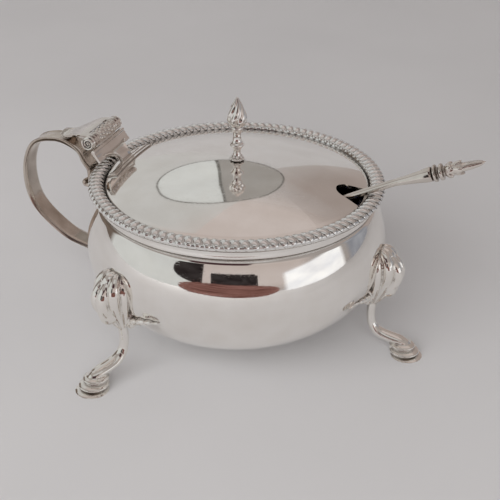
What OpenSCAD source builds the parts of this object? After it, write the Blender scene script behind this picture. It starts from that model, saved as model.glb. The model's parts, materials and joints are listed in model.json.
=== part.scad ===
// Footed mustard pot with a hinged lid, a glass liner and a spoon
// Millimetres, +Z up, the table at Z = 0, the pot's axis at X = Y = 0
// The spoon leaves the lid towards +X, the hinge and the handle are at -X

/* [Lid] */
// Radius of the lid
lid_r = 33; // [29:0.5:37]
// Height of the lid's edge above the table
rim_z = 44; // [41:0.5:48]
// Rise of the lid's dome above its edge
dome_h = 5.25; // [3:0.25:8]
// Thickness of the lid's sheet
lid_t = 0.8; // [0.6:0.1:1]
// Gap between the lid's edge and the border round it
lid_gap = 0.35; // [0.25:0.05:0.6]
// Depth of the spoon notch from the lid's edge
notch_depth = 7.2; // [6:0.2:9]
// Radius of the notch's inner end
notch_r = 3.2; // [2.4:0.1:4]
// Half of the notch's width at the lid's edge
notch_mouth = 5.4; // [4.4:0.2:7]
// Width of the ring under the lid that centres it
bezel_w = 0.9; // [0.6:0.1:1.4]
// How far the ring under the lid reaches below its seat
bezel_drop = 0.4; // [0.2:0.05:0.6]

/* [Rim] */
// Width of the gadrooned border
border_w = 4; // [3:0.2:5]
// Height of the border's crown above the lid's edge
border_crown = 1.4; // [0.8:0.1:2]
// Depth of the border below the lid's edge
border_drop = 1; // [0.9:0.05:1.3]
// How far the neck's outside lies outside the border's inner edge
neck_step = 1.65; // [1.4:0.05:2]
// Height of the plain neck band
neck_h = 3; // [2.6:0.1:4]
// Thickness of the ring that the lid closes on
lid_seat_t = 0.7; // [0.5:0.05:0.8]
// How far the lid bears on its ring
lid_bearing = 0.6; // [0.4:0.05:1]
// Width of the ring that the liner hangs on
liner_seat_w = 3; // [2.4:0.2:4]
// Thickness of the ring that the liner hangs on
liner_seat_t = 1; // [0.6:0.1:1.1]

/* [Bowl] */
// Thickness of the bowl's and the neck's sheet
wall = 0.8; // [0.6:0.05:1]
// How far the belly swells beyond the neck
belly_swell = 3.5; // [2:0.25:6]
// Height of the shoulder between the belly and the neck
shoulder_h = 12; // [10:0.5:13]
// Clear height between the table and the bowl
bowl_clear = 4.2; // [3:0.1:6]

/* [Glass liner] */
// Thickness of the liner's wall
liner_t = 2.2; // [1.6:0.1:3]
// Thickness of the liner's lip
lip_t = 1; // [0.8:0.05:1.1]
// Clear height between the bowl and the liner
liner_lift = 4; // [2.5:0.25:6]
// Height of the liner's rounded bottom
liner_round = 15; // [12:0.5:17]
// Gap all round the liner where it passes a ring
liner_fit = 0.35; // [0.25:0.05:0.5]

/* [Feet] */
// How far the middle of a hoof stands beyond the belly
hoof_reach = 8.2; // [6.5:0.25:11]
// Length of a hoof
hoof_len = 8.6; // [7.5:0.25:11]
// Width of a hoof
hoof_w = 8.4; // [7.5:0.25:11]
// Height of a hoof's ridged part
hoof_h = 4.6; // [4:0.2:5.2]
// Depth of the grooves between a hoof's ridges
ridge_depth = 0.25; // [0.1:0.05:0.4]
// Height of the ankle
ankle_z = 13; // [12:0.25:14.5]
// Thickness of the ankle
ankle_t = 2.5; // [2:0.1:3.5]
// How far the ankle's back lies inside the belly
ankle_in = 3.3; // [2.8:0.1:4]
// How far the knee's shell stands beyond the belly
knee_out = 5.7; // [4:0.25:7]
// How far the knee lies below the belly
knee_drop = 2; // [1:0.25:3]
// Width of the shell on the knee
shell_w = 13.6; // [11:0.25:16]
// How far the shell climbs above the belly
shell_rise = 5; // [4:0.25:6.5]
// Depth of the grooves between the shell's lobes
lobe_depth = 0.7; // [0.3:0.1:1]
// How far the leaf tips beside the shell reach from its middle
leaf_reach = 14; // [12:0.25:16]
// How far the leaf tips lie below the belly
leaf_drop = 6; // [4:0.25:7]
// Radius of a leaf tip at its root
leaf_r = 1.5; // [1:0.1:2]
// Gap between a foot and the bowl that it is soldered to
solder_gap = 0.15; // [0.1:0.05:0.3]

/* [Handle] */
// How far the handle reaches beyond the border
handle_reach = 23.1; // [19:0.1:28]
// Width of the handle's strap
strap_w = 5.8; // [4.5:0.1:8]
// Thickness of the handle's strap
strap_t = 1.1; // [0.9:0.1:1.6]
// Width of the strap where it meets the rim
fan_w = 14.8; // [11:0.2:17]
// Radius of the curl at the strap's upper end
curl_r = 1.3; // [1:0.1:1.6]
// How far the handle's lower end lies below the lid's edge
handle_drop = 27.2; // [25:0.25:28.5]
// How far the curl lies below the lid's edge
curl_drop = 4; // [3.5:0.1:4.6]
// Gap between the border and the strap
rim_gap = 0.25; // [0.15:0.05:0.5]

/* [Hinge] */
// Height of the hinge's axis above the lid's edge
hinge_h = 7.45; // [6.8:0.05:8.2]
// How far the hinge's axis lies inside the border's outer edge
hinge_in = 0.28; // [0.1:0.02:0.6]
// Radius of the hinge's barrel
barrel_r = 1.75; // [1.5:0.05:1.9]
// Radius of the hinge's pin
pin_r = 0.7; // [0.5:0.05:0.9]
// Clearance between the pin and the lid's knuckle
pin_fit = 0.05; // [0.03:0.01:0.08]
// Length of the lid's knuckle
knuckle_len = 9.2; // [7:0.2:10.4]
// Gap between the knuckles
knuckle_gap = 0.12; // [0.08:0.02:0.3]
// Gap between the lid's knuckle and the leaf behind it
swing_gap = 0.35; // [0.25:0.05:0.5]
// Length of the barrel without its scroll ends
barrel_len = 14.8; // [13.6:0.2:17]
// Thickness of a scroll end
scroll_t = 1.2; // [0.8:0.1:1.6]
// Radius of a scroll end
scroll_r = 1.95; // [1.6:0.05:2.2]
// Length of the leaf that holds the hinge on the handle
leaf_len = 11.6; // [10:0.1:12.6]
// How far the handle's top lies below the hinge's axis
leaf_rest = 2.15; // [2.1:0.05:2.6]
// Width of the tongue from the hinge to its plate
tongue_w = 4; // [3:0.2:6]
// Width of the hinge's plate on the lid
plate_w = 21; // [17:0.5:24]
// Thickness of the hinge's plate on the lid
plate_t = 0.8; // [0.5:0.1:1.2]
// How far the plate reaches in from the lid's edge
plate_depth = 3.9; // [3.2:0.1:5]
// Width of the plate's lower step
plate_step = 0.7; // [0.4:0.1:1]
// Distance between the plate and the lid's edge
plate_edge = 0.4; // [0.3:0.05:0.8]

/* [Finial] */
// Height of the finial above the lid
finial_h = 16.6; // [13:0.2:20]
// Greatest radius of the finial's bud
bud_r = 2.6; // [2:0.1:3.5]
// Radius of the finial's foot
finial_foot_r = 2.6; // [2.2:0.1:3.5]
// Radius of the finial's stud
stud_r = 1; // [0.7:0.05:1.3]
// Clearance round the stud
stud_fit = 0.1; // [0.05:0.05:0.2]
// Thickness of the nut under the lid
nut_t = 1.4; // [1:0.1:2]
// Thickness of the washer under the lid
washer_t = 0.5; // [0.3:0.05:0.8]
// Radius of the washer
washer_r = 3.2; // [2.6:0.1:4]
// Radius of the nut across its corners
nut_r = 2.3; // [1.8:0.1:2.6]
// Length of the stud below the nut
stud_end = 0.4; // [0.2:0.1:1]

/* [Spoon] */
// Slope of the spoon's stem where it crosses the rim, in degrees
spoon_tilt = 27; // [25:0.5:29]
// Slope of the spoon's outer end, in degrees
spoon_end_tilt = 22.5; // [20:0.5:25]
// Radius of the stem
stem_r = 1; // [0.8:0.05:1.2]
// Gap between the stem and the border that it lies over
stem_gap = 0.45; // [0.3:0.05:0.7]
// Distance from the rim to the bend in the stem
bend_at = 5.2; // [4:0.2:7]
// Length of the stem's flared part
flare_len = 9.4; // [7:0.2:13]
// Radius of the stem at the end of its flare
flare_r = 1.9; // [1.6:0.05:2.4]
// Length of the spoon's leafy end
terminal_len = 12.9; // [11:0.1:17]
// Length of the spoon's bowl
bowl_len = 17; // [14:0.5:20]
// Width of the spoon's bowl
bowl_w = 12; // [10:0.5:14]
// Depth of the spoon's bowl
bowl_depth = 3.4; // [2.5:0.1:4.5]
// Thickness of the spoon's bowl
bowl_t = 0.7; // [0.5:0.05:0.9]
// Gap between the spoon's tip and the liner
tip_gap = 0.6; // [0.4:0.1:1.5]

/* [Hidden] */
$fn = 96;

// Radii and heights of the rim, from the inside out
border_in_r = lid_r + lid_gap;
border_out_r = border_in_r + border_w;
border_mid_r = (border_in_r + border_out_r) / 2;
neck_out_r = border_in_r + neck_step;
neck_in_r = neck_out_r - wall;
neck_top_z = rim_z - border_drop;
bowl_top_z = neck_top_z - neck_h;
lid_seat_in_r = lid_r - lid_bearing;
liner_seat_in_r = neck_in_r - liner_seat_w;

// The bowl's belly
belly_r = neck_out_r + belly_swell;
belly_z = bowl_top_z - shoulder_h;
belly_drop = belly_z - bowl_clear;
belly_power = 2.1;
shoulder_power = 1.8;
profile_steps = 14;
shoulder_steps = 7;

// The liner inside the bowl
liner_out_r = liner_seat_in_r - liner_fit;
liner_in_r = liner_out_r - liner_t;
lip_r = lid_seat_in_r - liner_fit;
lip_z = bowl_top_z + liner_seat_t;
liner_low_z = bowl_clear + wall + liner_lift;
liner_turn_z = liner_low_z + liner_round;
liner_power = 2.4;

// The hinge's axis, and the spoon's point of rest on the border
hinge_x = hinge_in - border_out_r;
hinge_z = rim_z + hinge_h;
rest_x = border_mid_r;
rest_z = rim_z + border_crown + stem_gap + stem_r / cos(spoon_tilt);

// Gap between faces that are soldered or screwed together along a curve
touch = 0.03;

silver = "silver";
old_silver = "darkgray";

// Radius of the bowl's outside, or of its inside with skin = wall, at height z
function bowl_r(z, skin = 0) =
  z >= belly_z
    ? neck_out_r - skin + belly_swell * (1 - pow((z - belly_z) / shoulder_h, shoulder_power))
    : (belly_r - skin) * round_share(min(1, (belly_z - z) / (belly_drop - skin)), belly_power);

// Share of the full radius that is left at a share d of a rounded bottom's depth
function round_share(d, power) = pow(max(0, 1 - pow(d, power)), 1 / power);

// Outline of a rounded bottom from its lowest point to its full radius r at height z
function round_bottom(r, z, depth, power) = [
  for (i = [0 : profile_steps])
    let (a = 90 * (1 - i / profile_steps))
    [r * pow(max(0, cos(a)), 2 / power), z - depth * pow(sin(a), 2 / power)]
];

// Outline of the bowl from its lowest point to its top edge
function bowl_outline(skin) = concat(
  round_bottom(belly_r - skin, belly_z, belly_drop - skin, belly_power),
  [for (i = [1 : shoulder_steps])
    let (z = belly_z + shoulder_h * i / shoulder_steps)
    [bowl_r(z, skin), z]]
);

function reversed(list) = [for (i = [len(list) - 1 : -1 : 0]) list[i]];

// An outline drawn in shares of two sizes, and an outline closed by its mirror image across X
function sized(shares, along, up) = [for (p = shares) [p[0] * along, p[1] * up]];
function both_sides(half) = concat(half, reversed([for (p = half) [p[0], -p[1]]]));

// Height of the lid's top at radius r
function dome_z(r) = rim_z + dome_h * (1 - pow(r / lid_r, 2));

// Inside radius of the liner at height z
function liner_room(z) =
  z >= liner_turn_z
    ? liner_in_r
    : liner_in_r * round_share(min(1, (liner_turn_z - z) / (liner_round - liner_t)), liner_power);

// Smooth curve through hand-picked points
function curve_point(a, b, c, d, t) =
  0.5 * (2 * b + (c - a) * t + (2 * a - 5 * b + 4 * c - d) * t * t + (3 * b - a - 3 * c + d) * t * t * t);
function curve(pts, steps) = concat(
  [for (i = [0 : len(pts) - 2]) for (k = [0 : steps - 1])
    curve_point(pts[max(i - 1, 0)], pts[i], pts[i + 1], pts[min(i + 2, len(pts) - 1)], k / steps)],
  [pts[len(pts) - 1]]
);

// Closed outline of a strip that lies to the left of a path, t thick
function side_of(path, i) =
  let (d = path[min(i + 1, len(path) - 1)] - path[max(i - 1, 0)])
  [-d[1], d[0]] / norm(d);
function strip(path, t) = concat(path, [for (i = [len(path) - 1 : -1 : 0]) path[i] + t * side_of(path, i)]);

// Closed solid through a stack of rings that have as many points each
function ring_mean(ring) = [for (k = [0 : 2]) [for (p = ring) p[k]] * [for (p = ring) 1] / len(ring)];
module loft(rings) {
  n = len(rings[0]);
  m = len(rings);
  points = concat([for (ring = rings) each ring], [ring_mean(rings[0]), ring_mean(rings[m - 1])]);
  sides = [for (i = [0 : m - 2]) for (j = [0 : n - 1])
    let (a = i * n + j, b = i * n + (j + 1) % n)
    each [[a, a + n, b + n], [a, b + n, b]]];
  ends = [for (j = [0 : n - 1]) each [
    [m * n, j, (j + 1) % n],
    [m * n + 1, (m - 1) * n + (j + 1) % n, (m - 1) * n + j]]];
  polyhedron(points, concat(sides, ends), convexity = 6);
}

// A flat shape drawn in X and Z, w wide along Y
module slab(outline, w) {
  rotate([90, 0, 0]) translate([0, 0, -w / 2]) linear_extrude(w) polygon(outline);
}

// A round bar along Y
module bar(x, z, r, from, to) {
  translate([x, to, z]) rotate([90, 0, 0]) cylinder(h = to - from, r = r);
}

// A ring of rectangular section
module flat_ring(inner, outer, low, high) {
  rotate_extrude() translate([inner, low]) square([outer - inner, high - low]);
}

// Everything inside the bowl's outside
module bowl_solid() {
  rotate_extrude() polygon(concat(bowl_outline(0), [[0, bowl_top_z]]));
}

module body_shell() {
  color(silver) rotate_extrude() polygon(concat(bowl_outline(0), reversed(bowl_outline(wall))));
}

module neck_band() {
  color(silver) flat_ring(neck_in_r, neck_out_r, bowl_top_z, neck_top_z);
}

// The border: a half-round crown on an undercut foot
module gadroon_border() {
  waist_z = rim_z - border_drop * 0.1;
  under_r = border_out_r - border_drop * 0.7;
  half_w = border_w / 2;
  crown = rim_z + border_crown - waist_z;
  arc = [for (i = [0 : profile_steps])
    let (a = 180 * i / profile_steps)
    [border_mid_r + half_w * cos(a), waist_z + crown * sin(a)]];
  color(silver) rotate_extrude() polygon(concat([[border_in_r, neck_top_z], [under_r, neck_top_z]], arc));
}

module lid_seat() {
  color(old_silver) flat_ring(lid_seat_in_r, neck_in_r, neck_top_z - lid_seat_t, neck_top_z);
}

module liner_seat() {
  color(old_silver) flat_ring(liner_seat_in_r, neck_in_r, bowl_top_z, lip_z);
}

module glass_liner() {
  outside = round_bottom(liner_out_r, liner_turn_z, liner_round, liner_power);
  inside = round_bottom(liner_in_r, liner_turn_z, liner_round - liner_t, liner_power);
  lip = [[liner_out_r, lip_z], [lip_r, lip_z], [lip_r, lip_z + lip_t], [liner_in_r, lip_z + lip_t]];
  color("navy") rotate_extrude() polygon(concat(outside, lip, reversed(inside)));
}

// Heights and reaches of a foot
hoof_mid = belly_r + hoof_reach;
leg_back = belly_r - ankle_in;
knee_z = belly_z - knee_drop;
shell_top_z = belly_z + shell_rise;
function between(low, high, share) = low + (high - low) * share;

// A hoof leans in as it rises, its heel most, and every second ring is a ridge
hoof_rings = 7;
heel_lean = 0.51;
toe_lean = 0.24;
side_lean = 0.16;
groove_share = 0.4;
function hoof_slice(i) =
  let (
    up = i / (hoof_rings - 1),
    ridge = ridge_depth * (i == 0 ? -1 : i % 2 == 1 ? 1 : -groove_share)
  )
  [
    hoof_h * up,
    hoof_mid - hoof_len * (0.5 + heel_lean * up * up) - ridge,
    hoof_mid + hoof_len * (0.5 - toe_lean * up * up) + ridge,
    hoof_w / 2 * (1 - side_lean * up * up) + ridge,
    1
  ];

// The knee's slices: shares of the height, the knee's reach and the shell's width, and how round the back is
below_knee = [
  [0.154, 0.12, 0.16, 0.8], [0.385, 0.55, 0.3, 0.3], [0.54, 0.74, 0.37, 0.1],
  [0.69, 0.88, 0.43, 0], [1, 1, 0.5, 0]
];
above_knee = [[0.51, 0.86, 0.47, 0], [0.83, 0.52, 0.34, 0], [1, 0.24, 0.18, 0]];
function knee_slice(row, low, high) =
  [between(low, high, row[0]), leg_back, belly_r + knee_out * row[1], shell_w * row[2], row[3]];

// Slices of a foot from the table up: height, back, front, half width, and how round the back is
foot_slices = concat(
  [for (i = [0 : hoof_rings - 1]) hoof_slice(i)],
  [
    [between(hoof_h, ankle_z, 0.15), leg_back + ankle_t * 0.56, hoof_mid - hoof_len * 0.06, hoof_w * 0.33, 1],
    [between(hoof_h, ankle_z, 0.3), leg_back + ankle_t * 0.36, leg_back + ankle_t * 2.6, hoof_w * 0.26, 1],
    [between(hoof_h, ankle_z, 0.6), leg_back + ankle_t * 0.16, leg_back + ankle_t * 1.5, ankle_t * 0.66, 1],
    [between(hoof_h, ankle_z, 0.81), leg_back, leg_back + ankle_t * 1.06, ankle_t * 0.56, 1],
    [ankle_z, leg_back, leg_back + ankle_t, ankle_t * 0.58, 1]
  ],
  [for (row = below_knee) knee_slice(row, ankle_z, knee_z)],
  [for (row = above_knee) knee_slice(row, knee_z, shell_top_z)]
);

// The shell's five lobes run over the front of a slice, deepest at the knee
lobes = 5;
lobe_steps = 4;
back_steps = 5;
function lobe_share(z) = max(0, min(1, (z - ankle_z) / (knee_z - ankle_z)));
function foot_ring(slice) =
  let (
    z = slice[0],
    back = max(slice[1], bowl_r(z) + solder_gap),
    half = slice[3],
    flat_edge = sqrt(back * back - half * half),
    edge = flat_edge + slice[4] * ((back + slice[2]) / 2 - flat_edge)
  )
  concat(
    [for (i = [0 : lobes * lobe_steps])
      let (
        a = -90 + 180 * i / (lobes * lobe_steps),
        lobe = lobe_depth * lobe_share(z) * (abs(sin(lobes * (a + 90))) - 1)
      )
      [edge + (slice[2] - edge + lobe) * cos(a), half * sin(a), z]],
    [for (i = [1 : back_steps])
      let (
        y = half * (1 - 2 * i / (back_steps + 1)),
        hollow = sqrt(back * back - y * y),
        heel = edge - (edge - back) * sqrt(1 - y * y / half / half)
      )
      [hollow + slice[4] * (heel - hollow), y, z]]
  );

// A leaf tip that lies on the bowl beside the shell: rounded, thinner and higher towards its end
leaf_sizes = leaf_r * [1, 0.73, 0.23];
leaf_places = [shell_w * 0.3, shell_w * 0.62, leaf_reach];
leaf_heights = [for (sag = [0.3, 0.1, -0.07]) belly_z - leaf_drop * (1 + sag)];
module leaf_tip(side) {
  hull() for (i = [0 : len(leaf_sizes) - 1]) {
    r = bowl_r(leaf_heights[i] + leaf_sizes[i]) + solder_gap + leaf_sizes[i];
    y = side * leaf_places[i];
    translate([sqrt(r * r - y * y), y, leaf_heights[i]]) sphere(leaf_sizes[i], $fn = 16);
  }
}

module foot() {
  color(silver) {
    loft([for (slice = foot_slices) foot_ring(slice)]);
    for (side = [-1, 1]) leaf_tip(side);
  }
}

module foot_front() foot();
module foot_left() rotate([0, 0, -120]) foot();
module foot_right() rotate([0, 0, 120]) foot();

// The strap's path from its curl at the rim, over the top and down to the bowl
function handle_point(out, up) = [-(border_out_r + out), rim_z + up];
handle_top = hinge_h - leaf_rest;
handle_crest = handle_point(handle_reach * 0.54, handle_top);
handle_rise = handle_point(handle_reach * 0.25, handle_top * 0.77);
handle_fan_points = [
  handle_point(rim_gap, -curl_drop),
  handle_point(rim_gap * 1.4, -border_drop * 0.3),
  handle_point(handle_reach * 0.1, handle_top * 0.38),
  handle_rise,
  handle_crest
];
handle_loop_points = [
  handle_rise,
  handle_crest,
  handle_point(handle_reach * 0.86, handle_top * 0.55),
  handle_point(handle_reach, -handle_drop * 0.21),
  handle_point(handle_reach * 0.92, -handle_drop * 0.58),
  handle_point(handle_reach * 0.56, -handle_drop * 0.87),
  handle_point(handle_reach * 0.235, -handle_drop * 0.976),
  handle_point(-handle_reach * 0.22, -handle_drop * 1.04)
];
curve_steps = 6;

// Half of the strap's outline seen from above, from the loop to the rim
fan_spread = fan_w - strap_w;
fan_half = [
  [handle_crest[0] - strap_t, strap_w / 2],
  [handle_crest[0], strap_w / 2],
  [between(handle_crest[0], hinge_x, 0.4), strap_w / 2 + fan_spread * 0.14],
  [between(handle_crest[0], hinge_x, 0.7), strap_w / 2 + fan_spread * 0.34],
  [hinge_x, fan_w / 2],
  [0, fan_w / 2]
];

module handle_fan() {
  path = curve(handle_fan_points, curve_steps);
  curl = handle_fan_points[0];
  intersection() {
    union() {
      slab(strip(path, strap_t), fan_w);
      bar(curl[0] - curl_r, curl[1], curl_r, -fan_w / 2, fan_w / 2);
    }
    linear_extrude(hinge_z * 2) polygon(both_sides(fan_half));
  }
}

// The loop: a strap with a raised reed along each edge, cut to the bowl
module handle_loop() {
  whole_path = curve(handle_loop_points, curve_steps);
  path = [for (i = [curve_steps : len(whole_path) - 1]) whole_path[i]];
  reed_w = strap_w * 0.16;
  reed_t = strap_t * 1.4;
  difference() {
    union() {
      slab(strip(path, strap_t), strap_w);
      for (side = [-1, 1])
        translate([0, side * (strap_w - reed_w) / 2, 0]) slab(strip(path, reed_t), reed_w);
    }
    bowl_solid();
  }
}

// The lug that holds the strap on the neck, under the border
module handle_lug() {
  low = neck_top_z - neck_h * 0.8;
  high = neck_top_z - neck_h * 0.15;
  reach = border_out_r + rim_gap + strap_t / 2;
  difference() {
    translate([-reach, -strap_w / 2, low]) cube([reach, strap_w, high - low]);
    cylinder(h = hinge_z, r = neck_out_r);
  }
}

module handle_strap() {
  color(silver) {
    handle_fan();
    handle_loop();
    handle_lug();
  }
}

// The hinge's outlines, in shares of their sizes, from the hinge's axis
leaf_top = [[0, 1], [-0.3, 0.83], [-0.56, 0.11], [-0.79, -0.57], [-0.97, -0.46]];
leaf_under = [[-1, -0.8], [-0.8, -1.38], [-0.58, -0.57], [-0.31, 0.17], [0, 0.29]];
leaf_half = [[0.01, 1], [-0.09, 1], [-0.3, 0.88], [-0.56, 0.58], [-0.79, 0.46], [-1, 0.16]];
apron = [[0.71, -0.98], [1.51, -1.43], [2.06, -2.51], [1.6, -2.8], [0.43, -1.34]];
web = [[-0.34, -0.8], [0.74, -0.51], [0.91, -1.2], [0.51, -1.43]];
tongue = [[0.6, -0.48], [0.88, -0.52], [1.48, -0.86], [1.6, -1.1], [1.18, -1.1], [0.65, -0.62]];
barrel_half = barrel_len / 2;

module at_hinge() {
  translate([hinge_x, 0, hinge_z]) children();
}

// The leaf on the handle, with the barrel's two outer knuckles
module hinge_leaf() {
  inner = knuckle_len / 2 + knuckle_gap;
  color(silver) difference() {
    union() {
      intersection() {
        at_hinge() slab(sized(concat(leaf_top, leaf_under), leaf_len, barrel_r), barrel_len);
        translate([hinge_x, 0, 0])
          linear_extrude(hinge_z * 2) polygon(both_sides(sized(leaf_half, leaf_len, barrel_half)));
      }
      bar(hinge_x, hinge_z, barrel_r, inner, barrel_half);
      bar(hinge_x, hinge_z, barrel_r, -barrel_half, -inner);
    }
    bar(hinge_x, hinge_z, barrel_r + swing_gap, -inner, inner);
    bar(hinge_x, hinge_z, pin_r, -barrel_len, barrel_len);
  }
}

module hinge_pin() {
  color(old_silver) bar(hinge_x, hinge_z, pin_r, -barrel_half, barrel_half);
}

module hinge_scrolls() {
  color(silver) {
    bar(hinge_x, hinge_z, scroll_r, barrel_half, barrel_half + scroll_t);
    bar(hinge_x, hinge_z, scroll_r, -barrel_half - scroll_t, -barrel_half);
  }
}

// The notch's outline seen from above: a round inner end and sides that flare to the mouth
module notch_cut() {
  end_x = lid_r - notch_depth + notch_r;
  flare = notch_mouth * 0.13;
  inner = [for (a = [100 : 20 : 260]) [end_x + notch_r * cos(a), notch_r * sin(a)]];
  mouth = [for (corner = [[-1, -1], [1, -1], [1, 1], [-1, 1]])
    [lid_r + corner[0] * flare, corner[1] * (notch_mouth + corner[0] * flare)]];
  linear_extrude(hinge_z * 2) polygon(concat(inner, mouth));
}

// The lid's dome as a solid of revolution between two radii, raised and thickened
module dome_slab(inner, outer, low, high, steps = profile_steps) {
  radii = [for (i = [0 : steps]) between(inner, outer, i / steps)];
  rotate_extrude() polygon(concat(
    [for (r = radii) [r, dome_z(r) + low]],
    reversed([for (r = radii) [r, dome_z(r) + high]])
  ));
}

module lid_plate() {
  color(silver) difference() {
    dome_slab(stud_r + stud_fit, lid_r, -lid_t, 0);
    notch_cut();
  }
}

// The ring under the lid that centres it in its seat
module lid_bezel() {
  outer = lid_seat_in_r - lid_gap;
  inner = outer - bezel_w;
  low = neck_top_z - bezel_drop;
  color(old_silver) difference() {
    rotate_extrude() polygon([
      [inner, low],
      [outer, low],
      [outer, dome_z(outer) - lid_t - touch],
      [inner, dome_z(inner) - lid_t - touch]
    ]);
    notch_cut();
  }
}

// One step of the hinge's plate: a strip of the dome, cut straight at its inner edge and its ends
plate_rings = 4;
module plate_step_slab(margin, depth, low, high) {
  intersection() {
    dome_slab(lid_r - plate_depth - 2 * plate_step, lid_r - plate_edge - margin / 2, low, high, plate_rings);
    translate([-lid_r, margin - plate_w / 2, 0]) cube([depth, plate_w - 2 * margin, hinge_z]);
  }
}

module lid_hinge_plate() {
  color(silver) {
    plate_step_slab(0, plate_depth + plate_step, touch, plate_t / 2);
    plate_step_slab(plate_step, plate_depth, plate_t / 4, plate_t);
  }
}

// The lid's knuckle, the moulded apron in front of it, and the tongue down to the plate
module lid_hinge_strap() {
  color(silver) difference() {
    union() {
      at_hinge() {
        slab(sized(apron, barrel_r, barrel_r), barrel_len + scroll_t * 2);
        slab(sized(web, barrel_r, barrel_r), knuckle_len);
      }
      bar(hinge_x, hinge_z, barrel_r, -knuckle_len / 2, knuckle_len / 2);
      difference() {
        at_hinge() slab(sized(tongue, border_w, hinge_h), tongue_w);
        dome_slab(touch, border_in_r, -lid_t * 4, plate_t + touch);
      }
    }
    bar(hinge_x, hinge_z, pin_r + pin_fit, -knuckle_len, knuckle_len);
  }
}

// The finial's foot, stem and rings, in shares of the foot's radius and of the finial's height
finial_base_z = dome_z(0);
finial_stem = [
  [1, 0.003], [1, 0.03], [0.6, 0.066], [0.365, 0.114], [0.346, 0.163], [0.5, 0.2],
  [0.69, 0.24], [0.69, 0.27], [0.44, 0.31], [0.4, 0.456], [0.54, 0.498], [0.54, 0.558]
];

// The bud: twisted flutes on a drop whose widest place lies below its middle
bud_low = finial_h * 0.54;
bud_rings = 10;
bud_tip = 0.06;
bud_start = 0.07;
bud_lean = 0.6;
flutes = 6;
flute_steps = 4;
flute_depth = 0.11;
flute_twist = 70;
function bud_out(up) = bud_r * between(sin(180 * pow(between(bud_start, 1, up), bud_lean)), 1, bud_tip);
function bud_ring(up) = [for (k = [0 : flutes * flute_steps - 1])
  let (
    a = 360 * k / (flutes * flute_steps),
    out = bud_out(up) * (1 + flute_depth * (cos(flutes * a) - 1)),
    turn = a + flute_twist * up
  )
  [out * cos(turn), out * sin(turn), between(bud_low, finial_h, up)]];

module finial() {
  stem = sized(finial_stem, finial_foot_r, finial_h);
  stem_low = stem[0][1];
  stem_high = stem[len(stem) - 1][1];
  stud_low = -lid_t - 2 * touch - washer_t - nut_t - stud_end;
  color(silver) translate([0, 0, finial_base_z]) {
    rotate_extrude()
      polygon(concat([[0, stud_low], [stud_r, stud_low], [stud_r, stem_low]], stem, [[0, stem_high]]));
    loft([for (i = [0 : bud_rings]) bud_ring(i / bud_rings)]);
  }
}

washer_top_z = finial_base_z - lid_t - 2 * touch;
module finial_washer() {
  color(old_silver) flat_ring(stud_r + stud_fit, washer_r, washer_top_z - washer_t, washer_top_z);
}

module finial_nut() {
  color(old_silver) difference() {
    translate([0, 0, washer_top_z - washer_t - nut_t]) cylinder(h = nut_t, r = nut_r, $fn = 6);
    cylinder(h = finial_base_z, r = stud_r);
  }
}

// The spoon lies in its own frame: +X runs out along the stem, from its point of rest on the border
module at_spoon() {
  translate([rest_x, 0, rest_z]) rotate([0, -spoon_tilt, 0]) children();
}

// How far the spoon reaches inwards until its tip is close to the liner
function tip_fits(s) =
  let (x = rest_x - s * cos(spoon_tilt), z = rest_z - s * sin(spoon_tilt) - bowl_t)
  z > liner_low_z + liner_t && abs(x) + tip_gap < liner_room(z - tip_gap);
spoon_reach = max([for (s = [bowl_len : 0.25 : 3 * lid_r]) if (tip_fits(s)) s]);
bowl_root = spoon_reach - bowl_len;

// The spoon's bowl: crosswise slices from the stem to the tip, hollow on top
bowl_rings = 12;
bowl_across = 8;
bowl_round = 2.3;
bowl_lip = 0.3;
function bowl_ring(t) =
  let (
    swell = sqrt(max(0, 1 - pow(abs(2 * t - 1), bowl_round))),
    half = between(stem_r, bowl_w / 2, swell),
    deep = between(bowl_t, bowl_depth, swell),
    lip = bowl_t * bowl_lip,
    along = bowl_root + bowl_len * t,
    across = [for (k = [0 : bowl_across]) 2 * k / bowl_across - 1]
  )
  concat(
    [for (u = across) [-deep * (1 - u * u) - lip / 3, -half * u, along]],
    [for (u = reversed(across)) [(bowl_t - deep) * (1 - u * u) + lip, (lip - half) * u, along]]
  );

module spoon_bowl() {
  color(silver) at_spoon() rotate([0, -90, 0]) loft([for (i = [0 : bowl_rings]) bowl_ring(i / bowl_rings)]);
}

// The outer end of the spoon, beyond the bend in its stem
module at_spoon_end() {
  at_spoon() translate([bend_at, 0, 0]) rotate([0, 90 + spoon_tilt - spoon_end_tilt, 0]) children();
}

module spoon_stem() {
  color(silver) {
    at_spoon() translate([touch - bowl_root, 0, 0]) rotate([0, 90, 0])
      cylinder(h = bowl_root + bend_at - touch, r = stem_r);
    at_spoon_end() {
      sphere(stem_r);
      cylinder(h = flare_len, r1 = stem_r, r2 = flare_r);
    }
  }
}

// Collar, rings, leafy swelling and pointed end, in shares of the flare's radius and of the end's length
terminal_outline = [
  [0, 0], [1, 0], [1.13, 0.038], [0.9, 0.076], [0.71, 0.098], [1, 0.144], [0.79, 0.197], [0.63, 0.22],
  [0.92, 0.288], [1, 0.348], [0.68, 0.424], [0.82, 0.493], [0.5, 0.654], [0.33, 0.827], [0.13, 0.983], [0, 1]
];
module spoon_terminal() {
  color(silver) at_spoon_end() translate([0, 0, flare_len])
    rotate_extrude() polygon(sized(terminal_outline, flare_r, terminal_len));
}

body_shell();
neck_band();
gadroon_border();
lid_seat();
liner_seat();
glass_liner();
foot_front();
foot_left();
foot_right();
handle_strap();
hinge_leaf();
hinge_pin();
hinge_scrolls();
lid_plate();
lid_bezel();
lid_hinge_strap();
lid_hinge_plate();
finial();
finial_washer();
finial_nut();
spoon_bowl();
spoon_stem();
spoon_terminal();
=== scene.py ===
# %% [markdown]
# # A silver mustard pot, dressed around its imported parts
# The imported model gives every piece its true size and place. It is fixed: nothing here moves or resizes
# it. This lesson models the visible silver again with smooth, ornamented meshes, gives each surface a
# finish, and lights the pot like a small studio picture.

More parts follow.
